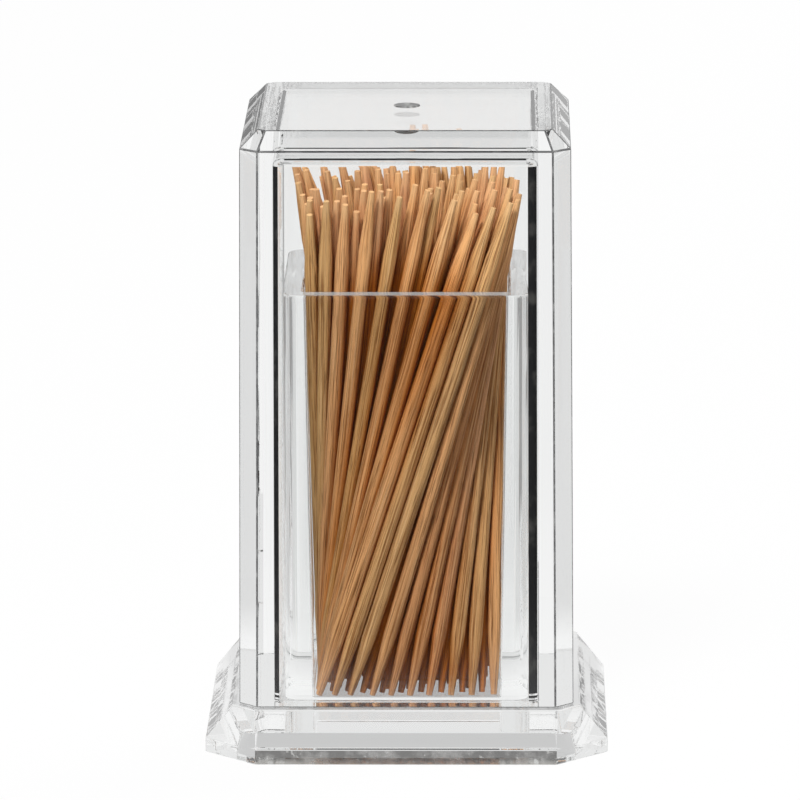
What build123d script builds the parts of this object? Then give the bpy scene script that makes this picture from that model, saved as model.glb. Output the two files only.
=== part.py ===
from build123d import *
import math
import os
import random

import numpy as np

# Toothpick holder: a clear base with a square cup, a clear cover that lifts off, and the toothpicks
# that stand in the cup. Millimetres, +Z up, origin under the middle of the foot.

# Toothpicks
toothpick_length = 68.0
toothpick_diameter = 1.8
toothpick_tip = 0.75
toothpick_taper = 8.0
toothpick_shortfall = 3.0
toothpick_gap = 0.05
toothpick_slack = 0.35
toothpick_floor_gap = 0.03
bundle_twist = 130.0
bundle_splay = 1.35
settle_rounds = 4000
settle_push = 0.3
settle_recheck = 20
settle_reach = 1.6

# Cup, one moulding with the base
cup_floor_width = 24.2
cup_draft = 0.85
cup_depth = 52.8
cup_wall = 2.7
cup_floor_thickness = 3.9
cup_floor_corner = 0.35
cup_rim_corner = 0.35
cup_outer_corner = 2.2
cup_floor_round = 0.25
cup_rim_round = 0.35
cup_wall_gap = 0.1

# Base
recess_depth = 2.1
recess_draft = 0.1
recess_corner = 1.2
plate_thickness = 4.2
lip_height = 0.2
lip_margin = 0.7
slope_run = 3.65
foot_height = 1.85
foot_wall = 5.4
foot_corner = 6.5

# Cover
cover_clearance = 1.25
cover_wall = 4.35
cover_top = 3.75
cover_draft = 0.45
cover_corner = 2.3
cover_seat_gap = 0.05
bevel_run = 2.3
bevel_drop = 2.35
cavity_draft = 0.2
cavity_corner = 1.5
cavity_tip_gap = 0.5
ceiling_round = 1.0
headroom = 2.45
gate_diameter = 3.3
gate_height = 0.1

# Levels
plate_level = recess_depth + plate_thickness
lip_level = plate_level - lip_height
floor_level = recess_depth + cup_floor_thickness
rim_level = floor_level + cup_depth
mouth_level = plate_level + cover_seat_gap
ceiling_level = floor_level + toothpick_length + headroom
cover_level = ceiling_level + cover_top

# Widths, from the cup outwards
cup_rim_width = cup_floor_width + 2 * cup_draft
cup_outer_width = cup_rim_width + 2 * cup_wall
cavity_mouth_width = cup_outer_width + 2 * cover_clearance
cavity_ceiling_width = cavity_mouth_width - 2 * cavity_draft
cover_mouth_width = cavity_mouth_width + 2 * cover_wall
cover_shoulder_width = cover_mouth_width - 2 * cover_draft
cover_top_width = cover_shoulder_width - 2 * bevel_run
lip_width = cover_mouth_width + 2 * lip_margin
foot_width = lip_width + 2 * slope_run
recess_width = foot_width - 2 * foot_wall


def offset_corner(corner, outward):
    """Leg of a 45 degree corner after every side moves outward by the same distance."""
    return corner + (2 - math.sqrt(2)) * outward


def octagon(width, corner, level):
    half = width / 2
    leg = half - corner
    points = [(half, -leg), (half, leg), (leg, half), (-leg, half)]
    points += [(-half, leg), (-half, -leg), (-leg, -half), (leg, -half)]
    return Pos(0, 0, level) * Polygon(*points, align=None)


def rounded_square(width, radius, level):
    return Pos(0, 0, level) * RectangleRounded(width, width, radius)


def walls_between(*sections):
    return loft(list(sections), ruled=True)


def top_edges(solid):
    return solid.faces().sort_by(Axis.Z)[-1].edges()


def make_base():
    lip_corner = offset_corner(cover_corner, lip_margin)
    foot = walls_between(
        octagon(foot_width, foot_corner, 0),
        octagon(foot_width, foot_corner, foot_height),
        octagon(lip_width, lip_corner, lip_level),
        octagon(lip_width, lip_corner, plate_level),
    )
    cup_height = rim_level - lip_level
    cup = extrude(rounded_square(cup_outer_width, cup_outer_corner, lip_level), cup_height)
    hollow = walls_between(
        rounded_square(cup_floor_width, cup_floor_corner, floor_level),
        rounded_square(cup_rim_width, cup_rim_corner, rim_level),
    )
    floor_edges = hollow.faces().sort_by(Axis.Z)[0].edges()
    hollow = fillet(floor_edges, cup_floor_round)
    recess_top_corner = offset_corner(recess_corner, -recess_draft)
    recess = walls_between(
        octagon(recess_width, recess_corner, 0),
        octagon(recess_width - 2 * recess_draft, recess_top_corner, recess_depth),
    )
    moulding = foot + cup - hollow - recess
    return fillet(top_edges(moulding), cup_rim_round)


def make_cover():
    shoulder_level = cover_level - bevel_drop
    shell = walls_between(
        octagon(cover_mouth_width, cover_corner, mouth_level),
        octagon(cover_shoulder_width, cover_corner, shoulder_level),
        octagon(cover_top_width, offset_corner(cover_corner, -bevel_run), cover_level),
    )
    cavity = walls_between(
        rounded_square(cavity_mouth_width, cavity_corner, mouth_level),
        rounded_square(cavity_ceiling_width, cavity_corner, ceiling_level),
    )
    cavity = fillet(top_edges(cavity), ceiling_round)
    gate = Pos(0, 0, cover_level) * Cylinder(gate_diameter / 2, 2 * gate_height)
    return shell - cavity + gate


def hold_inside(points, width, corner, reach):
    """Axis points moved the least way into a square with rounded corners, at least reach clear of it."""
    turn = max(corner - reach, 0.0)
    core = width / 2 - reach - turn
    nearest = np.clip(points, -core, core)
    beyond = points - nearest
    distance = np.maximum(np.hypot(beyond[:, 0], beyond[:, 1]), 1e-9)
    return nearest + beyond * np.minimum(1.0, turn / distance)[:, None]


def closest_points(low, high, first, second):
    """Shares along both axes where two sticks pass closest, and the way from one to the other."""
    rise = np.full(len(first), toothpick_length)
    way_a = np.column_stack([high[first] - low[first], rise])
    way_b = np.column_stack([high[second] - low[second], rise])
    start = np.column_stack([low[first] - low[second], 0 * rise])
    aa = (way_a * way_a).sum(1)
    bb = (way_b * way_b).sum(1)
    ab = (way_a * way_b).sum(1)
    a_start = (way_a * start).sum(1)
    b_start = (way_b * start).sum(1)
    spread = np.maximum(aa * bb - ab * ab, 1e-6)
    share_a = np.clip((ab * b_start - a_start * bb) / spread, 0, 1)
    share_b = np.clip((ab * share_a + b_start) / bb, 0, 1)
    share_a = np.clip((ab * share_b - a_start) / aa, 0, 1)
    between = start + way_a * share_a[:, None] - way_b * share_b[:, None]
    return share_a, share_b, between


def settle_bundle():
    """Axis points at the floor and one stick length above it, for a twisted bundle that fills the cup."""
    chance = random.Random(5)
    room = cup_floor_width - toothpick_diameter - 2 * cup_wall_gap
    per_side = int(room / (toothpick_diameter + toothpick_slack)) + 1
    line = np.linspace(-room / 2, room / 2, per_side)
    low = np.array([[x, y] for y in line for x in line])
    angle = math.radians(bundle_twist)
    twist = np.array([[math.cos(angle), math.sin(angle)], [-math.sin(angle), math.cos(angle)]])
    high = bundle_splay * low @ twist
    loose = toothpick_diameter / 2
    play = toothpick_slack / 2
    low = low + np.array([[chance.uniform(-play, play) for axis in "xy"] for point in low])
    high = high + np.array([[chance.uniform(-loose, loose) for axis in "xy"] for point in high])
    rim_share = cup_depth / toothpick_length
    taper_share = toothpick_taper / toothpick_length
    taper_width = cup_floor_width + 2 * cup_draft * toothpick_taper / cup_depth
    wall_reach = toothpick_diameter / 2 + cup_wall_gap
    tip_reach = toothpick_tip / 2 + cup_wall_gap + cup_floor_round
    cover_reach = toothpick_diameter / 2 + cavity_tip_gap
    every_a, every_b = np.triu_indices(len(low), 1)
    least = toothpick_diameter + toothpick_gap
    beside = settle_reach * toothpick_diameter
    for step in range(settle_rounds):
        if step % settle_recheck == 0:
            distance = np.linalg.norm(closest_points(low, high, every_a, every_b)[2], axis=1)
            if distance.min() >= least:
                break
            near = distance < beside
            first = every_a[near]
            second = every_b[near]
        share_a, share_b, between = closest_points(low, high, first, second)
        distance = np.maximum(np.linalg.norm(between, axis=1), 1e-6)
        short = np.maximum(least + toothpick_gap - distance, 0) / distance
        push = settle_push * between[:, :2] * short[:, None]
        for stick, share, sign in ((first, share_a, 1), (second, share_b, -1)):
            weight = sign / ((1 - share) ** 2 + share ** 2)
            np.add.at(low, stick, push * ((1 - share) * weight)[:, None])
            np.add.at(high, stick, push * (share * weight)[:, None])
        low = hold_inside(low, cup_floor_width, cup_floor_corner, tip_reach)
        taper = low + (high - low) * taper_share
        held = hold_inside(taper, taper_width, cup_floor_corner, wall_reach)
        low = low + (held - taper) / (1 - taper_share)
        high = hold_inside(high, cavity_ceiling_width, cavity_corner, cover_reach)
        rim = low + (high - low) * rim_share
        high = high + (hold_inside(rim, cup_rim_width, cup_rim_corner, wall_reach) - rim) / rim_share
    kept = []
    for stick in range(len(low)):
        others = np.array(kept, dtype=int)
        gaps = closest_points(low, high, np.full(len(kept), stick), others)[2]
        if len(kept) == 0 or np.linalg.norm(gaps, axis=1).min() > toothpick_diameter:
            kept.append(stick)
    return [(low[stick], high[stick]) for stick in kept]


def make_toothpick(length):
    half = toothpick_diameter / 2
    tip = toothpick_tip / 2
    lower = [(0, 0), (tip, 0), (half, toothpick_taper)]
    upper = [(half, length - toothpick_taper), (tip, length), (0, length)]
    points = [(x, 0, z) for x, z in lower + upper]
    return revolve(make_face(Polyline(*points, close=True)), Axis.Z)


def make_toothpicks():
    chance = random.Random(11)
    sticks = []
    for low, high in settle_bundle():
        across = Vector(high[0] - low[0], high[1] - low[1], 0)
        rise = Vector(across.X, across.Y, toothpick_length).normalized()
        lean = across.length / math.hypot(across.length, toothpick_length)
        lift = toothpick_floor_gap + toothpick_tip / 2 * lean
        foot = Vector(low[0], low[1], floor_level) + rise * (lift / rise.Z)
        place = Plane(origin=foot, z_dir=rise).location
        length = toothpick_length - chance.uniform(0, toothpick_shortfall)
        sticks.append(place * make_toothpick(length))
    return Compound(children=sticks)


os.makedirs("parts", exist_ok=True)
export_step(make_base(), "parts/base.step")
export_step(make_cover(), "parts/cover.step")
export_step(make_toothpicks(), "parts/toothpicks.step")
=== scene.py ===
import math
import random

import bmesh
import bpy
import numpy as np
from mathutils import Matrix, Vector


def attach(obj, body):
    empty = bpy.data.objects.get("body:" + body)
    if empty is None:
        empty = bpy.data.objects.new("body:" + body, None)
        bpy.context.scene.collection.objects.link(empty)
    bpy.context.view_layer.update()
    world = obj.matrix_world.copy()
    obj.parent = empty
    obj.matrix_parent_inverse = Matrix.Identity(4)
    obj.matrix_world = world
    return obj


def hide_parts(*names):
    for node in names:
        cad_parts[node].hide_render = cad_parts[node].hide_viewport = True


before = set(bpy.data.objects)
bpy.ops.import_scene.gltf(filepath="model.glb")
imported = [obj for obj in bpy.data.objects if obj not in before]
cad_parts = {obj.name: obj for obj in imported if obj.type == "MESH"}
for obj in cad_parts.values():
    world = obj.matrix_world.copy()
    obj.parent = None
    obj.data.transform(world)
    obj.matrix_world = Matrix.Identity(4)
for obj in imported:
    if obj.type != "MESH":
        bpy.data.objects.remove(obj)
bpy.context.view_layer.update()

mm = 0.001
weld = 1e-6  # metres, points closer than this are one
facing = 0.9  # a normal this far along an axis faces that way
overrun = 1.0  # how far a cutter runs past the face it opens
halfCount = 0.5  # tells whole counts of bounces apart
print("frame loaded, nodes:", sorted(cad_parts))


# small helpers, all lengths in millimetres
def deselectAll():
    if bpy.context.object and bpy.context.object.mode != "OBJECT":
        bpy.ops.object.mode_set(mode="OBJECT")
    bpy.ops.object.select_all(action="DESELECT")


def pickUp(piece):
    deselectAll()
    piece.select_set(True)
    bpy.context.view_layer.objects.active = piece


def openEdit(piece, kind):
    pickUp(piece)
    bpy.ops.object.mode_set(mode="EDIT")
    bpy.ops.mesh.select_mode(type=kind)
    bpy.ops.mesh.select_all(action="DESELECT")


def closeEdit():
    bpy.ops.object.mode_set(mode="OBJECT")


def choose(piece, kind, test):
    mesh = bmesh.from_edit_mesh(piece.data)
    for item in getattr(mesh, kind):
        item.select_set(test(item))
    mesh.select_flush_mode()
    bmesh.update_edit_mesh(piece.data)


def chooseTop(piece):
    # opens the piece with its highest face selected and gives that height, in metres
    openEdit(piece, "FACE")
    top = max(v.co.z for v in bmesh.from_edit_mesh(piece.data).verts)

    def onTop(face):
        return face.normal.z > facing and abs(face.calc_center_median().z - top) < weld

    choose(piece, "faces", onTop)
    return top


def raiseTop(piece, rise):
    chooseTop(piece)
    bpy.ops.mesh.extrude_region_move(TRANSFORM_OT_translate={"value": (0, 0, rise * mm)})
    closeEdit()


def scaleTop(piece, share):
    top = chooseTop(piece)
    bpy.ops.transform.resize(value=(share, share, 1), center_override=(0, 0, top))
    closeEdit()


def addBlock(name, width, topWidth, low, high):
    deselectAll()
    tall = high - low
    middle = (0, 0, (low + tall / 2) * mm)
    size = (width * mm, width * mm, tall * mm)
    bpy.ops.mesh.primitive_cube_add(size=1, location=middle, scale=size)
    piece = bpy.context.object
    piece.name = piece.data.name = name
    bpy.ops.object.transform_apply(location=True, rotation=True, scale=True)
    scaleTop(piece, topWidth / width)
    return piece


def addRod(sides, radius, tall, middle):
    deselectAll()
    bpy.ops.mesh.primitive_cylinder_add(
        vertices=sides, radius=radius * mm, depth=tall * mm, location=(0, 0, middle * mm))
    bpy.ops.object.transform_apply(location=True, rotation=True, scale=True)
    return bpy.context.object


def bevelChosen(width, steps, slot=-1):
    bpy.ops.mesh.bevel(
        offset_type="OFFSET", offset=width * mm, segments=steps, profile=0.5,
        affect="EDGES", material=slot)


def bevelEdges(piece, test, width, steps):
    openEdit(piece, "EDGE")
    choose(piece, "edges", test)
    bevelChosen(width, steps)
    closeEdit()


def softenEdges(piece, width, slot, test, steps=2, angle=25):
    # rounds the sharp edges that the test takes, in the finish of one slot
    openEdit(piece, "EDGE")
    bpy.ops.mesh.edges_select_sharp(sharpness=math.radians(angle))
    choose(piece, "edges", lambda e: e.select and test(e))
    bevelChosen(width, steps, slot)
    bpy.ops.mesh.select_all(action="SELECT")
    bpy.ops.mesh.remove_doubles(threshold=weld)
    bpy.ops.mesh.normals_make_consistent(inside=False)
    closeEdit()


def upright(edge, steep=0.8):
    a, b = edge.verts
    return abs(a.co.z - b.co.z) > steep * (a.co - b.co).length


def levelAt(height, near=0.05):
    def test(edge):
        return all(abs(v.co.z - height * mm) < near * mm for v in edge.verts)
    return test


def combine(piece, other, way):
    pickUp(piece)
    step = piece.modifiers.new(way.lower(), "BOOLEAN")
    step.operation = way
    step.solver = "EXACT"
    step.object = other
    bpy.ops.object.modifier_apply(modifier=step.name)
    bpy.data.objects.remove(other, do_unlink=True)


def dress(piece, materials):
    for material in materials:
        piece.data.materials.append(material)


# node helpers
def feed(tree, socket, value):
    if isinstance(value, (int, float, tuple)):
        socket.default_value = value
    elif value is not None:
        tree.links.new(value, socket)


def mathNode(tree, kind, *values):
    node = tree.nodes.new("ShaderNodeMath")
    node.operation = kind
    for socket, value in zip(node.inputs, values):
        feed(tree, socket, value)
    return node.outputs[0]


def rangeNode(tree, value, span, first=0.0, last=1.0):
    # goes smoothly from first to last as the value crosses the span
    node = tree.nodes.new("ShaderNodeMapRange")
    node.interpolation_type = "SMOOTHSTEP"
    names = ("Value", "From Min", "From Max", "To Min", "To Max")
    for name, number in zip(names, (value, *span, first, last)):
        feed(tree, node.inputs[name], number)
    return node.outputs["Result"]


def noiseNode(tree, vector, scale, detail, shift=None, rough=0.5):
    node = tree.nodes.new("ShaderNodeTexNoise")
    if shift is not None:
        node.noise_dimensions = "4D"
        feed(tree, node.inputs["W"], shift)
    names = ("Vector", "Scale", "Detail", "Roughness")
    for name, value in zip(names, (vector, scale, detail, rough)):
        feed(tree, node.inputs[name], value)
    return node.outputs["Fac"]


def stretchNode(tree, vector, scale):
    node = tree.nodes.new("ShaderNodeMapping")
    feed(tree, node.inputs["Scale"], scale)
    feed(tree, node.inputs["Vector"], vector)
    return node.outputs["Vector"]


def splitNode(tree, vector):
    node = tree.nodes.new("ShaderNodeSeparateXYZ")
    feed(tree, node.inputs["Vector"], vector)
    return node.outputs


def rampNode(tree, value, stops):
    # the two end stops come first
    node = tree.nodes.new("ShaderNodeValToRGB")
    ramp = node.color_ramp
    for number, (place, colour) in enumerate(stops):
        item = ramp.elements[number] if number < 2 else ramp.elements.new(place)
        item.position = place
        item.color = colour
    feed(tree, node.inputs["Fac"], value)
    return node.outputs["Color"]


def mixNode(tree, share, first, second, way="MIX"):
    node = tree.nodes.new("ShaderNodeMix")
    node.data_type = "RGBA"
    node.blend_type = way
    colours = [socket for socket in node.inputs if socket.type == "RGBA"]
    for socket, value in zip((node.inputs[0], *colours), (share, first, second)):
        feed(tree, socket, value)
    return [socket for socket in node.outputs if socket.type == "RGBA"][0]


def bumpNode(tree, height, strength, depth):
    node = tree.nodes.new("ShaderNodeBump")
    feed(tree, node.inputs["Strength"], strength)
    feed(tree, node.inputs["Distance"], depth)
    feed(tree, node.inputs["Height"], height)
    return node.outputs["Normal"]


def mixShader(tree, share, first, second):
    node = tree.nodes.new("ShaderNodeMixShader")
    for socket, value in zip(node.inputs, (share, first, second)):
        feed(tree, socket, value)
    return node.outputs["Shader"]


def newMaterial(name):
    material = bpy.data.materials.new(name)
    material.use_nodes = True
    tree = material.node_tree
    return material, tree, tree.nodes["Principled BSDF"]


def objectPlace(tree):
    return tree.nodes.new("ShaderNodeTexCoord").outputs["Object"]


def attributeOf(tree, name):
    node = tree.nodes.new("ShaderNodeAttribute")
    node.attribute_name = name
    return node.outputs["Fac"]


def lightPath(tree):
    return tree.nodes.new("ShaderNodeLightPath").outputs


def fromInside(tree):
    return tree.nodes.new("ShaderNodeNewGeometry").outputs["Backfacing"]


# clear plastic
clearSet = {
    "tint": (0.985, 0.99, 0.988, 1), "bend": 1.49, "shadow": (0.93, 0.93, 0.93, 1),
    "smearScale": 260.0, "smearDetail": 3, "smear": 0.012, "smearFrom": (0.48, 0.78),
    "rippleScale": 90.0, "rippleDetail": 1, "rippleDepth": 0.000006,
}
finishInputs = {"Smear Scale": "smearScale", "Smear": "smear", "Ripple Scale": "rippleScale"}


def makeFinish(s):
    # faint smears in the gloss and a slow ripple from the mould, on all the clear plastic
    group = bpy.data.node_groups.new("plasticFinish", "ShaderNodeTree")
    for name in finishInputs:
        group.interface.new_socket(name, in_out="INPUT", socket_type="NodeSocketFloat")
    for name in ("Roughness", "Ripple"):
        group.interface.new_socket(name, in_out="OUTPUT", socket_type="NodeSocketFloat")
    given = group.nodes.new("NodeGroupInput").outputs
    result = group.nodes.new("NodeGroupOutput").inputs
    place = objectPlace(group)
    smear = noiseNode(group, place, given["Smear Scale"], s["smearDetail"])
    ripple = noiseNode(group, place, given["Ripple Scale"], s["rippleDetail"])
    smear = rangeNode(group, smear, s["smearFrom"], 0.0, given["Smear"])
    feed(group, result["Roughness"], smear)
    feed(group, result["Ripple"], ripple)
    return group


plasticFinish = makeFinish(clearSet)


def clearShader(name, s):
    material, tree, shader = newMaterial(name)
    shader.inputs["Base Color"].default_value = s["tint"]
    shader.inputs["IOR"].default_value = s["bend"]
    shader.inputs["Transmission Weight"].default_value = 1.0
    finish = tree.nodes.new("ShaderNodeGroup")
    finish.node_tree = plasticFinish
    for socket, key in finishInputs.items():
        finish.inputs[socket].default_value = s[key]
    ripple = bumpNode(tree, finish.outputs["Ripple"], 1.0, s["rippleDepth"])
    feed(tree, shader.inputs["Roughness"], finish.outputs["Roughness"])
    feed(tree, shader.inputs["Normal"], ripple)
    return material, tree, shader


def letLampsThrough(tree, surface, s):
    # lamps shine through the plastic with a faint shadow
    through = tree.nodes.new("ShaderNodeBsdfTransparent")
    through.inputs["Color"].default_value = s["shadow"]
    toLamp = lightPath(tree)["Is Shadow Ray"]
    mixed = mixShader(tree, toLamp, surface, through.outputs["BSDF"])
    feed(tree, tree.nodes["Material Output"].inputs["Surface"], mixed)


def clearPlastic(name, s):
    material, tree, shader = clearShader(name, s)
    letLampsThrough(tree, shader.outputs["BSDF"], s)
    return material


# rounded edges of the cover, painted dark from outside as a stand-in for the dark surroundings
# that thick clear edges show by refraction, lighter in patches by noise
edgeSet = {
    "dark": (0.03, 0.03, 0.031, 1), "lighterShade": (0.12, 0.12, 0.12, 1),
    "shadeNoiseScale": 700.0, "shadeNoiseDetail": 2, "shadeNoise": (0.5, 0.7),
}


def plasticEdge(name, clear, s):
    material, tree, shader = clearShader(name, clear)
    shadeNoise = noiseNode(tree, objectPlace(tree), s["shadeNoiseScale"], s["shadeNoiseDetail"])
    # painted dark from outside, lighter in patches by noise, clear from inside
    colour = mixNode(tree, rangeNode(tree, shadeNoise, s["shadeNoise"]), s["dark"], s["lighterShade"])
    colour = mixNode(tree, fromInside(tree), colour, clear["tint"])
    feed(tree, shader.inputs["Base Color"], colour)
    letLampsThrough(tree, shader.outputs["BSDF"], clear)
    return material


# cavity corners, painted black where seen from inside the plastic, standing in for the dark
# surroundings their rounding shows by refraction, with two bright breaks near the mouth
stripSet = {
    "paintedBlack": (0.017, 0.017, 0.018, 1), "paintedGrey": (0.055, 0.054, 0.052, 1),
    "paintedGreyScale": 420.0, "paintedGreyDetail": 3, "paintedGreyFrom": (0.5, 0.75),
    "breaks": ((6.61, 6.86), (7.17, 7.42)),
    "slant": (0.26, 0.58),  # the ceiling's painted dark line, standing in for total internal reflection, is seen only this far aslant
}


def cornerStrip(name, clear, s, slantOnly=False):
    material, tree, shader = clearShader(name, clear)
    place = objectPlace(tree)
    height = splitNode(tree, place)["Z"]
    bounces = lightPath(tree)["Glossy Depth"]
    limits = [mathNode(tree, "LESS_THAN", bounces, halfCount)]
    for low, high in s["breaks"]:
        middle, reach = (low + high) / 2 * mm, (high - low) / 2 * mm
        bright = mathNode(tree, "COMPARE", height, middle, reach)
        limits.append(mathNode(tree, "SUBTRACT", 1.0, bright))
    if slantOnly:
        lean = tree.nodes.new("ShaderNodeLayerWeight").outputs["Facing"]
        least, most = s["slant"]
        limits.append(mathNode(tree, "GREATER_THAN", lean, least))
        limits.append(mathNode(tree, "LESS_THAN", lean, most))
    seen = fromInside(tree)
    for limit in limits:
        seen = mathNode(tree, "MULTIPLY", seen, limit)
    # painted black and grey, seen only from inside the plastic and only on direct view
    paintedGrey = noiseNode(tree, place, s["paintedGreyScale"], s["paintedGreyDetail"])
    shade = mixNode(tree, rangeNode(tree, paintedGrey, s["paintedGreyFrom"]), s["paintedBlack"], s["paintedGrey"])
    dark = tree.nodes.new("ShaderNodeBsdfDiffuse")
    feed(tree, dark.inputs["Color"], shade)
    surface = mixShader(tree, seen, shader.outputs["BSDF"], dark.outputs["BSDF"])
    letLampsThrough(tree, surface, clear)
    return material


# gate mark on the cover's top, opaque, mottled dark grey, rough and bumped
gateSet = {
    "dim": (0.07, 0.07, 0.07, 1), "pale": (0.42, 0.42, 0.41, 1),
    "mottleScale": 1500.0, "mottleDetail": 3, "mottleRough": 0.6, "mottle": (0.42, 0.66),
    "rough": (0.35, 0.65), "scuff": 0.7, "scuffDepth": 0.00005,
}


def gateMottle(name, s):
    material, tree, shader = newMaterial(name)
    place = objectPlace(tree)
    mottle = noiseNode(tree, place, s["mottleScale"], s["mottleDetail"], rough=s["mottleRough"])
    colour = mixNode(tree, rangeNode(tree, mottle, s["mottle"]), s["dim"], s["pale"])
    feed(tree, shader.inputs["Base Color"], colour)
    feed(tree, shader.inputs["Roughness"], rangeNode(tree, mottle, s["mottle"], *s["rough"]))
    feed(tree, shader.inputs["Normal"], bumpNode(tree, mottle, s["scuff"], s["scuffDepth"]))
    return material


# upright band of the foot, painted dark grey where the shadowed floor shows through it, mottled
# and speckled, lighter and warmer at the floor
footSet = {
    "dim": (0.10, 0.097, 0.093, 1), "mid": (0.40, 0.39, 0.375, 1), "pale": (0.72, 0.71, 0.69, 1),
    "warm": (0.56, 0.53, 0.49, 1), "warmFrom": (0.2, 0.8), "warmShare": 0.7,
    "mottleScale": 380.0, "mottleDetail": 4, "mottleRough": 0.6, "mottle": (0.4, 0.66),
    "speckScale": 1150.0, "speckDetail": 2, "speck": (0.63, 0.72), "speckShare": 0.85,
    "rough": (0.08, 0.3),
}


def footPaintedShade(name, clear, s):
    material, tree, shader = clearShader(name, clear)
    place = objectPlace(tree)
    height = splitNode(tree, place)["Z"]
    mottle = noiseNode(tree, place, s["mottleScale"], s["mottleDetail"], rough=s["mottleRough"])
    speck = noiseNode(tree, place, s["speckScale"], s["speckDetail"])
    low, high = s["warmFrom"]
    warm = rangeNode(tree, height, (low * mm, high * mm), s["warmShare"], 0.0)
    speck = rangeNode(tree, speck, s["speck"], 0.0, s["speckShare"])
    # painted shade: dark grey band, mottled, speckled and lighter near the floor
    colour = mixNode(tree, rangeNode(tree, mottle, s["mottle"]), s["dim"], s["mid"])
    colour = mixNode(tree, warm, colour, s["warm"])
    colour = mixNode(tree, speck, colour, s["pale"])
    colour = mixNode(tree, fromInside(tree), colour, clear["tint"])
    feed(tree, shader.inputs["Base Color"], colour)
    feed(tree, shader.inputs["Roughness"], rangeNode(tree, mottle, s["mottle"], *s["rough"]))
    letLampsThrough(tree, shader.outputs["BSDF"], clear)
    return material


# toothpick wood
woodSet = {
    "tan": (0.75, 0.40, 0.18, 1), "honey": (0.80, 0.42, 0.17, 1),
    "olive": (0.66, 0.405, 0.165, 1), "rose": (0.71, 0.37, 0.195, 1),
    "brown": (0.53, 0.26, 0.12, 1), "pale": (0.90, 0.62, 0.34, 1),
    "vein": (0.20, 0.06, 0.010, 1), "speck": (0.07, 0.016, 0.002, 1),
    # sticks of different tone, the two ends first
    "stops": (("olive", 0.0), ("brown", 1.0),
              ("tan", 0.3), ("honey", 0.55), ("rose", 0.75), ("tan", 0.9)),
    # grain laid over each other: stretch, detail, where it starts and is full, share and colour
    "grain": {
        "paleFibres": ((22.0, 4.0, 1.0), 2, (0.5, 0.66), 0.32, "pale"),
        "streaks": ((7.0, 2.2, 1.0), 3, (0.45, 0.7), 0.4, "vein"),
        "fibres": ((30.0, 5.0, 1.0), 4, (0.49, 0.62), 0.65, "vein"),
        "pores": ((60.0, 12.0, 1.0), 2, (0.56, 0.64), 0.7, "speck"),
    },
    "grainRough": 0.55, "grainShift": 37.0, "ridge": 0.6, "ridgeDepth": 0.00004,
    "tipFrom": (0.955, 0.995), "tipShare": 0.3,
    "roughFrom": (0.3, 0.7), "rough": (0.55, 0.8), "shine": 0.05,
    # painted shade between the sticks: browner with depth in the bundle, in millimetres, but not
    # at the upper tips
    "paintedShade": (0.72, 0.41, 0.1, 1), "paintedShadeFrom": (0.15, 1.5), "paintedShadeTo": (0.8, 0.94),
}


def pickWood(name, s):
    material, tree, shader = newMaterial(name)
    tone = attributeOf(tree, "stickTone")
    wrap = tree.nodes.new("ShaderNodeUVMap")
    wrap.uv_map = "stickMap"
    around = wrap.outputs["UV"]
    along = splitNode(tree, around)["Y"]
    shift = mathNode(tree, "MULTIPLY", tone, s["grainShift"])
    colour = rampNode(tree, tone, [(place, s[key]) for key, place in s["stops"]])
    noises = {}
    for layer, (stretch, detail, span, share, key) in s["grain"].items():
        grain = stretchNode(tree, around, stretch)
        noises[layer] = noiseNode(tree, grain, 1.0, detail, shift, s["grainRough"])
        colour = mixNode(tree, rangeNode(tree, noises[layer], span, 0.0, share), colour, s[key])
    tip = rangeNode(tree, along, s["tipFrom"], 0.0, s["tipShare"])
    colour = mixNode(tree, tip, colour, s["pale"])
    # painted shade, browner where the sticks lie deeper in the bundle
    paintedShade = rangeNode(tree, attributeOf(tree, "stickDepth"), s["paintedShadeFrom"])
    paintedShade = mathNode(tree, "MULTIPLY", paintedShade, rangeNode(tree, along, s["paintedShadeTo"], 1.0, 0.0))
    shaded = mixNode(tree, 1.0, colour, s["paintedShade"], "MULTIPLY")
    feed(tree, shader.inputs["Base Color"], mixNode(tree, paintedShade, colour, shaded))
    fibres = noises["fibres"]
    feed(tree, shader.inputs["Roughness"], rangeNode(tree, fibres, s["roughFrom"], *s["rough"]))
    shader.inputs["Specular IOR Level"].default_value = s["shine"]
    valley = mathNode(tree, "SUBTRACT", 1.0, fibres)
    feed(tree, shader.inputs["Normal"], bumpNode(tree, valley, s["ridge"], s["ridgeDepth"]))
    return material


coverClear = clearPlastic("coverClear", clearSet)
coverPaintedCorner = cornerStrip("coverPaintedCorner", clearSet, stripSet)
coverPaintedLine = cornerStrip("coverPaintedLine", clearSet, stripSet, True)
coverEdge = plasticEdge("coverEdge", clearSet, edgeSet)
coverGate = gateMottle("coverGate", gateSet)
baseClear = clearPlastic("baseClear", clearSet)
baseFoot = footPaintedShade("baseFoot", clearSet, footSet)
stickWood = pickWood("stickWood", woodSet)
print("materials made")

# camera, fitted to the picture's straight edges
cameraSet = {
    "place": (12.305, -906.34, 234.14), "target": (-0.992, 0.0, 41.766),
    "roll": 0.153, "lens": 323.8, "sensor": 36, "clip": 10.0,
}


def makeCamera(s):
    deselectAll()
    bpy.ops.object.camera_add()
    camera = bpy.context.object
    camera.name = "viewCamera"
    place = Vector(s["place"]) * mm
    back = (place - Vector(s["target"]) * mm).normalized()
    right = Vector((0, 0, 1)).cross(back).normalized()
    up = back.cross(right)
    roll = math.radians(s["roll"])
    acrossAxis = right * math.cos(roll) - up * math.sin(roll)
    upAxis = right * math.sin(roll) + up * math.cos(roll)
    turn = Matrix((acrossAxis, upAxis, back)).transposed().to_4x4()
    camera.matrix_world = Matrix.Translation(place) @ turn
    camera.data.lens = s["lens"]
    camera.data.sensor_width = s["sensor"]
    camera.data.clip_start = s["clip"] * mm
    bpy.context.scene.camera = camera


makeCamera(cameraSet)
print("camera placed")

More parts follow.
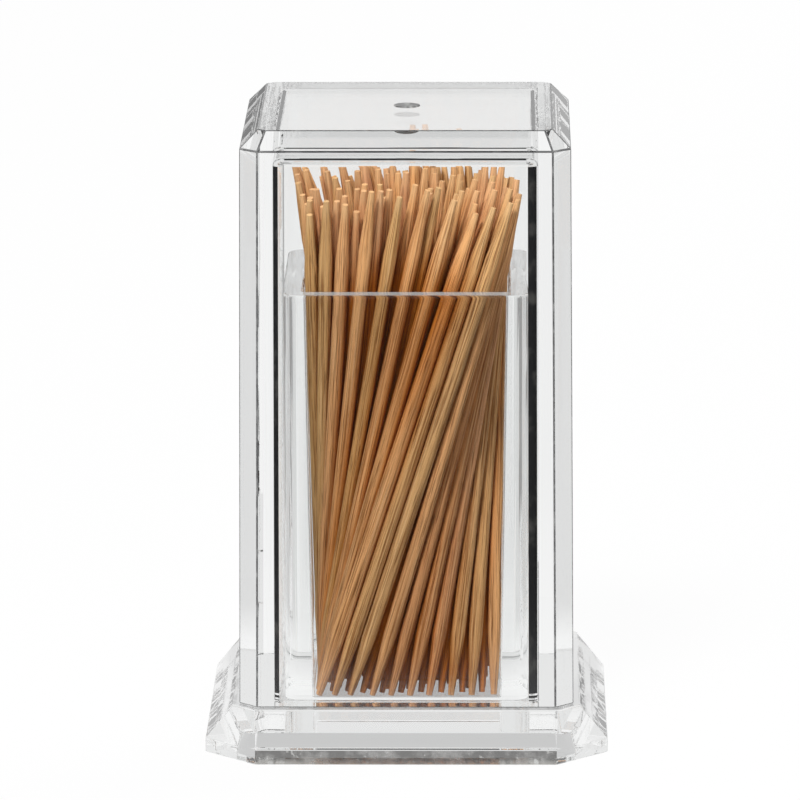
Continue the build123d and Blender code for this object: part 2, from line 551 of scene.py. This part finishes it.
# cover
coverSet = {
    "mouth": 42.5, "crown": 41.57, "corner": 2.3,
    "low": 6.35, "high": 80.2, "bevel": 2.325,
    "cavityMouth": 33.8, "cavityTop": 33.4, "cavityRound": 1.5, "cavitySteps": 14,
    "ceiling": 76.45, "ceilingRound": 1.0, "ceilingSteps": 12,
    "gateRadius": 1.65, "gateHigh": 0.1, "gateSides": 40, "gateReach": 1.2, "gateLow": 0.02,
    "edgeRound": 0.15, "gateEdge": 0.03, "near": 0.1,
    # degrees round the cavity's corners that are painted dark, their top, and those of the
    # ceiling's painted dark line
    "darkLeft": (18, 58), "darkRight": (32, 85), "darkHigh": 75.4, "line": (52, 75),
    "cornerSlot": 1, "edgeSlot": 2, "gateSlot": 3, "lineSlot": 4,
}


def onGate(s):
    reach = s["gateReach"] * s["gateRadius"] * mm
    low = (s["high"] - s["near"]) * mm

    def test(edge):
        return all(v.co.xy.length < reach and v.co.z > low for v in edge.verts)

    return test


def makeCover(s):
    cover = addBlock("clearCover", s["mouth"], s["crown"], s["low"], s["high"])
    dress(cover, (coverClear, coverPaintedCorner, coverEdge, coverGate, coverPaintedLine))
    bevelEdges(cover, upright, s["corner"], 1)
    bevelEdges(cover, levelAt(s["high"]), s["bevel"], 1)
    flare = (s["cavityMouth"] - s["cavityTop"]) / (s["ceiling"] - s["low"]) * overrun
    mouth, low = s["cavityMouth"] + flare, s["low"] - overrun
    cavity = addBlock("cavityCutter", mouth, s["cavityTop"], low, s["ceiling"])
    bevelEdges(cavity, upright, s["cavityRound"], s["cavitySteps"])
    bevelEdges(cavity, levelAt(s["ceiling"]), s["ceilingRound"], s["ceilingSteps"])
    combine(cover, cavity, "DIFFERENCE")
    gate = addRod(s["gateSides"], s["gateRadius"], 2 * s["gateHigh"], s["high"])
    combine(cover, gate, "UNION")
    gateEdge = onGate(s)
    softenEdges(cover, s["gateEdge"], s["gateSlot"], gateEdge)
    softenEdges(cover, s["edgeRound"], s["edgeSlot"], lambda e: not gateEdge(e))
    return cover


def onRound(across, up, radius, span, near):
    # true for a point on a rounding of that radius, within a span of degrees
    turn = math.degrees(math.atan2(up, across))
    return abs(math.hypot(across, up) - radius) < near and span[0] < turn < span[1]


def markCover(cover, s):
    # the rounded corners of the cavity and the line under its ceiling, both painted dark, and the
    # gate mark
    for face in cover.data.polygons:
        if face.material_index == s["edgeSlot"]:
            continue
        middle = face.center / mm
        rise = (middle.z - s["low"]) / (s["ceiling"] - s["low"])
        half = (s["cavityMouth"] + (s["cavityTop"] - s["cavityMouth"]) * rise) / 2
        across = abs(middle.x) - half + s["cavityRound"]
        along = abs(middle.y) - half + s["cavityRound"]
        if across > 0 and along > 0:
            span = s["darkLeft"] if middle.x < 0 else s["darkRight"]
            dark = onRound(across, along, s["cavityRound"], span, s["near"])
            if dark and middle.z < s["darkHigh"]:
                face.material_index = s["cornerSlot"]
        else:
            up = middle.z - s["ceiling"] + s["ceilingRound"]
            wide = max(abs(middle.x), abs(middle.y))
            out = wide - s["cavityTop"] / 2 + s["ceilingRound"]
            dark = onRound(out, up, s["ceilingRound"], s["line"], s["near"])
            if dark and up > 0 and out > 0:
                face.material_index = s["lineSlot"]
        if middle.z > s["high"] + s["gateLow"]:
            face.material_index = s["gateSlot"]


cover = makeCover(coverSet)
markCover(cover, coverSet)
print("cover made:", len(cover.data.polygons), "faces")

# base with its cup
baseSet = {
    "foot": 51.2, "footCorner": 6.5, "footHigh": 1.85,
    "lip": 43.9, "lipCorner": 2.71, "lipLow": 6.1, "plate": 6.3,
    "cup": 31.3, "cupRound": 2.2, "cupSteps": 16,
    "rim": 58.8, "rimRound": 0.35, "rimSteps": 6,
    "hollowFloor": 24.2, "hollowRim": 25.9, "hollowRound": 0.35, "hollowSteps": 12,
    "floor": 6.0, "floorRound": 0.25, "floorSteps": 5,
    "recess": 40.4, "recessTop": 40.2, "recessCorner": 1.2, "recessHigh": 2.1,
    "footEdge": 0.15, "footReach": 0.5, "lipEdge": 0.06,
    "clearSlot": 0, "footSlot": 1,
}


def pullCorners(piece, height, wide, near, axis):
    # brings one level's octagon to a new width and corner along one axis
    split = (wide[0] + near[0]) / 2 * mm
    for far, (old, new) in ((True, wide), (False, near)):

        def onSide(vert):
            return abs(vert.co.z - height * mm) < weld and (abs(vert.co[axis]) > split) == far

        openEdit(piece, "VERT")
        choose(piece, "verts", onSide)
        share = [1, 1, 1]
        share[axis] = new / old
        bpy.ops.transform.resize(value=share, center_override=(0, 0, 0))
        closeEdit()


def makeBase(s):
    base = addBlock("clearBase", s["foot"], s["foot"], 0, s["footHigh"])
    dress(base, (baseClear, baseFoot))
    bevelEdges(base, upright, s["footCorner"], 1)
    raiseTop(base, s["lipLow"] - s["footHigh"])
    half, lipHalf = s["foot"] / 2, s["lip"] / 2
    wide = (half, lipHalf)
    near = (half - s["footCorner"], lipHalf - s["lipCorner"])
    for axis in (0, 1):
        pullCorners(base, s["lipLow"], wide, near, axis)
    raiseTop(base, s["plate"] - s["lipLow"])
    cup = addBlock("cupCutter", s["cup"], s["cup"], s["lipLow"], s["rim"])
    bevelEdges(cup, upright, s["cupRound"], s["cupSteps"])
    combine(base, cup, "UNION")
    flare = (s["hollowRim"] - s["hollowFloor"]) / (s["rim"] - s["floor"]) * overrun
    mouth, high = s["hollowRim"] + flare, s["rim"] + overrun
    hollow = addBlock("hollowCutter", s["hollowFloor"], mouth, s["floor"], high)
    bevelEdges(hollow, upright, s["hollowRound"], s["hollowSteps"])
    bevelEdges(hollow, levelAt(s["floor"]), s["floorRound"], s["floorSteps"])
    combine(base, hollow, "DIFFERENCE")
    recess = addBlock("recessCutter", s["recess"], s["recessTop"], -overrun, s["recessHigh"])
    bevelEdges(recess, upright, s["recessCorner"], 1)
    combine(base, recess, "DIFFERENCE")
    bevelEdges(base, levelAt(s["rim"]), s["rimRound"], s["rimSteps"])

    def onFoot(edge):
        return all(v.co.z < (s["footHigh"] + s["footReach"]) * mm for v in edge.verts)

    softenEdges(base, s["footEdge"], s["clearSlot"], onFoot)
    softenEdges(base, s["lipEdge"], s["clearSlot"], lambda e: not onFoot(e))
    return base


def markFoot(base, s):
    # the four straight outer faces of the foot
    for face in base.data.polygons:
        outward = face.center.xy.dot(face.normal.xy) > 0
        straight = max(abs(face.normal.x), abs(face.normal.y)) > facing
        if outward and straight and face.center.z < s["footHigh"] * mm:
            face.material_index = s["footSlot"]


base = makeBase(baseSet)
markFoot(base, baseSet)
print("base made:", len(base.data.polygons), "faces")

# toothpicks
pickSet = {
    "long": 68.0, "thick": 1.8, "tip": 0.75, "taper": 8.0,
    "shoulder": 3.0, "shoulderShare": 0.68, "sides": 10, "smoothAngle": 50,
    "thinnest": 0.95, "thickest": 1.05, "seed": 7,
    "ways": 24,  # directions in which the depth in the bundle is measured
    "endReach": 0.02,
}


def findSticks(node, s):
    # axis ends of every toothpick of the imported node, read from a merged copy
    deselectAll()
    copy = node.copy()
    copy.data = node.data.copy()
    bpy.context.collection.objects.link(copy)
    copy.parent = None
    pickUp(copy)
    bpy.ops.object.mode_set(mode="EDIT")
    bpy.ops.mesh.select_all(action="SELECT")
    bpy.ops.mesh.remove_doubles(threshold=weld)
    bpy.ops.mesh.separate(type="LOOSE")
    closeEdit()
    near = s["endReach"] * mm
    axes = []
    for stick in list(bpy.context.selected_objects):
        points = np.array([v.co for v in stick.data.vertices])
        middle = points.mean(0)
        along = np.linalg.svd(points - middle)[2][0]
        along = along * np.sign(along[2])
        reach = (points - middle) @ along
        ends = [points[np.abs(reach - at) < near].mean(0) for at in (reach.min(), reach.max())]
        axes.append((Vector(ends[0]), Vector(ends[1])))
        bpy.data.objects.remove(stick, do_unlink=True)
    return sorted(axes, key=lambda ends: (round(ends[0].x, 5), round(ends[0].y, 5)))


def makeToothpick(s):
    # one stick of full length, standing on the origin
    stick = addRod(s["sides"], s["tip"] / 2, s["shoulder"], s["shoulder"] / 2)
    stick.name = stick.data.name = "toothpick"
    tipShare = s["tip"] / s["thick"]
    heights = [s["shoulder"], s["taper"]]
    heights += [s["long"] - s["taper"], s["long"] - s["shoulder"], s["long"]]
    shares = [s["shoulderShare"], 1.0, 1.0, s["shoulderShare"], tipShare]
    last = tipShare
    for number, (height, share) in enumerate(zip(heights, shares)):
        if number:
            raiseTop(stick, height - heights[number - 1])
        scaleTop(stick, share / last)
        last = share
    bpy.ops.object.shade_smooth_by_angle(angle=math.radians(s["smoothAngle"]))
    return stick


def wrapStick(mesh, long):
    # lays the grain round the stick and along it, with the seam closed
    wrap = mesh.uv_layers[0]
    wrap.name = "stickMap"
    for face in mesh.polygons:
        spots = []
        for corner in face.loop_indices:
            point = mesh.vertices[mesh.loops[corner].vertex_index].co
            around = math.atan2(point.y, point.x) / math.tau + 0.5
            spots.append((corner, around, point.z / (long * mm)))
        widest = max(around for corner, around, along in spots)
        for corner, around, along in spots:
            if widest - around > 0.5:
                around += 1.0
            wrap.data[corner].uv = (around, along)


def setPoints(mesh, name, values):
    layer = mesh.attributes.new(name, "FLOAT", "POINT")
    for item, value in zip(layer.data, values):
        item.value = value


def outlineAt(axes, share, ways):
    # how far the sticks' axes reach in each direction at one share of their length
    points = np.array([low.lerp(high, share).xy for low, high in axes]) / mm
    return (points @ ways).max(0)


def makeBundle(s):
    axes = findSticks(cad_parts["toothpicks"], s)
    stick, long = makeToothpick(s), s["long"]
    wrapStick(stick.data, long)
    levels = [round(point.co.z / mm, 3) for point in stick.data.vertices]
    angles = np.linspace(0, math.tau, s["ways"], endpoint=False)
    ways = np.array([np.cos(angles), np.sin(angles)])
    outlines = {at: outlineAt(axes, at / long, ways) + s["thick"] / 2 for at in set(levels)}
    chance = random.Random(s["seed"])
    copies = []
    for low, high in axes:
        copy = stick.copy()
        mesh = copy.data = stick.data.copy()
        bpy.context.collection.objects.link(copy)
        tone = chance.random()
        setPoints(mesh, "stickTone", [tone] * len(levels))
        rise = high - low
        spin = Matrix.Rotation(chance.uniform(0, math.tau), 4, "Z")
        turn = rise.to_track_quat("Z", "Y").to_matrix().to_4x4() @ spin
        girth = chance.uniform(s["thinnest"], s["thickest"])
        stretch = Matrix.Diagonal((girth, girth, rise.length / (long * mm), 1))
        mesh.transform(Matrix.Translation(low) @ turn @ stretch)
        places = [np.array(point.co.xy) / mm for point in mesh.vertices]
        depths = [(outlines[at] - place @ ways).min() for at, place in zip(levels, places)]
        setPoints(mesh, "stickDepth", depths)
        copies.append(copy)
    bpy.data.objects.remove(stick, do_unlink=True)
    deselectAll()
    for copy in copies:
        copy.select_set(True)
    bundle = copies[0]
    bpy.context.view_layer.objects.active = bundle
    bpy.ops.object.join()
    bundle.name = bundle.data.name = "toothpickBundle"
    return bundle, len(copies)


bundle, stickCount = makeBundle(pickSet)
dress(bundle, (stickWood,))
print("bundle made:", stickCount, "toothpicks,", len(bundle.data.polygons), "faces")

# what each piece stands for and rides on
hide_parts("cover")
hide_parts("base")
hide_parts("toothpicks")
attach(cover, "lid")
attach(base, "holder")
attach(bundle, "holder")

# floor, world and lamps, in metres
stageSet = {
    "floorSize": 6.0, "floorLow": -0.00005, "floorColour": (0.86, 0.86, 0.86, 1),
    "floorRough": 0.9, "floorWhite": 0.96,
    # how bright the floor looks through the plastic away from the foot, and the painted shadow
    # under the foot, darker at the front
    "seenLevel": 0.94, "underFront": 0.58, "underBack": 0.72,
    "underTurn": (-0.006, 0.004), "under": (0.019, 0.027),
    # cards that dim reflections: how much, and from where to where they set in
    "frontDark": 0.98, "front": (0.03, 0.06), "skyDark": 0.245, "skyFront": (0.1, 0.5),
    "cardSide": (0.12, 0.3), "cardNear": 0.001,
    "backDark": 0.2, "back": (0.045, 0.07),
    "sideDark": 0.6, "side": (0.06, 0.1), "wallPasses": (2.0, 1.5),
    "worldLight": 0.04, "worldSeen": 1.0,
}
lampSet = {
    "target": (0, 0, 0.04),
    "keyLamp": {"place": (-0.35, -0.75, 0.95), "size": 0.3, "power": 16.5},
    "fillLamp": {"place": (0.5, -0.9, 0.3), "size": 0.4, "power": 1.8},
    "backLamp": {"place": (0.6, 0.75, 0.7), "size": 0.4, "power": 8.0},
}


def glassRay(tree, path):
    # one for rays that reached the stage by way of glass
    return mathNode(tree, "MAXIMUM", path["Is Glossy Ray"], path["Is Transmission Ray"])


def cardShade(tree, path, cards):
    # the cards stay out of view and only dim reflections
    dark = 0.0
    for reach, span, depth in cards:
        dark = mathNode(tree, "MAXIMUM", dark, rangeNode(tree, reach, span, 0.0, depth))
    bounced = mathNode(tree, "MINIMUM", path["Glossy Depth"], 1.0)
    return mathNode(tree, "SUBTRACT", 1.0, mathNode(tree, "MULTIPLY", bounced, dark))


def frontCard(tree, path, spot, dark, s):
    # the front card ends to the left and the right and dims single reflections only
    ahead = mathNode(tree, "MULTIPLY", spot["Y"], -1.0)
    away = mathNode(tree, "MAXIMUM", ahead, s["cardNear"])
    lean = mathNode(tree, "DIVIDE", mathNode(tree, "ABSOLUTE", spot["X"]), away)
    single = mathNode(tree, "COMPARE", path["Glossy Depth"], 1.0, halfCount)
    inside = rangeNode(tree, lean, s["cardSide"], dark, 0.0)
    return ahead, mathNode(tree, "MULTIPLY", single, inside)


def makeFloor(s):
    deselectAll()
    bpy.ops.mesh.primitive_plane_add(size=s["floorSize"], location=(0, 0, s["floorLow"]))
    floor = bpy.context.object
    floor.name = "paleFloor"
    material, tree, shader = newMaterial("floorPaper")
    shader.inputs["Base Color"].default_value = s["floorColour"]
    shader.inputs["Roughness"].default_value = s["floorRough"]
    path = lightPath(tree)
    spot = splitNode(tree, objectPlace(tree))
    acrossFloor = mathNode(tree, "ABSOLUTE", spot["X"])
    alongFloor = mathNode(tree, "ABSOLUTE", spot["Y"])
    reach = mathNode(tree, "MAXIMUM", acrossFloor, alongFloor)
    # painted shadow under the foot, seen only through the plastic
    paintedShadow = rangeNode(tree, spot["Y"], s["underTurn"], s["underFront"], s["underBack"])
    level = rangeNode(tree, reach, s["under"], paintedShadow, s["seenLevel"])
    ahead, front = frontCard(tree, path, spot, s["frontDark"], s)
    inWall = mathNode(tree, "COMPARE", path["Transmission Depth"], *s["wallPasses"])
    outside = mathNode(tree, "SUBTRACT", 1.0, inWall)
    beside = mathNode(tree, "MULTIPLY", outside, s["sideDark"])
    cards = (
        (ahead, s["front"], front),
        (spot["Y"], s["back"], s["backDark"]),
        (acrossFloor, s["side"], beside),
    )
    level = mathNode(tree, "MULTIPLY", level, cardShade(tree, path, cards))
    level = mathNode(tree, "MAXIMUM", level, path["Is Camera Ray"])
    glow = tree.nodes.new("ShaderNodeEmission")
    feed(tree, glow.inputs["Strength"], level)
    glass = glassRay(tree, path)
    share = mathNode(tree, "MULTIPLY_ADD", path["Is Camera Ray"], s["floorWhite"], glass)
    surface = mixShader(tree, share, shader.outputs["BSDF"], glow.outputs["Emission"])
    feed(tree, tree.nodes["Material Output"].inputs["Surface"], surface)
    dress(floor, (material,))


def makeWorld(s):
    world = bpy.data.worlds.new("studioWorld")
    bpy.context.scene.world = world
    world.use_nodes = True
    tree = world.node_tree
    tree.nodes.clear()
    output = tree.nodes.new("ShaderNodeOutputWorld")
    path = lightPath(tree)
    spot = splitNode(tree, tree.nodes.new("ShaderNodeTexCoord").outputs["Generated"])
    ahead, front = frontCard(tree, path, spot, s["skyDark"], s)
    shade = cardShade(tree, path, ((ahead, s["skyFront"], front),))
    seen = mathNode(tree, "MULTIPLY", shade, s["worldSeen"])
    seen = mathNode(tree, "MAXIMUM", seen, path["Is Camera Ray"])
    white = tree.nodes.new("ShaderNodeBackground")
    feed(tree, white.inputs["Strength"], seen)
    light = tree.nodes.new("ShaderNodeBackground")
    light.inputs["Strength"].default_value = s["worldLight"]
    share = mathNode(tree, "MAXIMUM", path["Is Camera Ray"], glassRay(tree, path))
    surface = mixShader(tree, share, light.outputs["Background"], white.outputs["Background"])
    feed(tree, output.inputs["Surface"], surface)


def addLamp(name, s, target):
    deselectAll()
    bpy.ops.object.light_add(type="AREA", location=s["place"])
    lamp = bpy.context.object
    lamp.name = name
    lamp.data.shape = "DISK"
    lamp.data.size = s["size"]
    lamp.data.energy = s["power"]
    lamp.rotation_mode = "QUATERNION"
    away = Vector(s["place"]) - Vector(target)
    lamp.rotation_quaternion = away.to_track_quat("Z", "Y")
    lamp.visible_glossy = lamp.visible_transmission = False


makeFloor(stageSet)
makeWorld(stageSet)
for name in ("keyLamp", "fillLamp", "backLamp"):
    addLamp(name, lampSet[name], lampSet["target"])
print("stage set")

scene = bpy.context.scene
scene.view_settings.view_transform = "Standard"
# light crosses many walls before it leaves the plastic
scene.cycles.max_bounces = 32
scene.cycles.transmission_bounces = 28
scene.cycles.glossy_bounces = 16
scene.cycles.transparent_max_bounces = 32
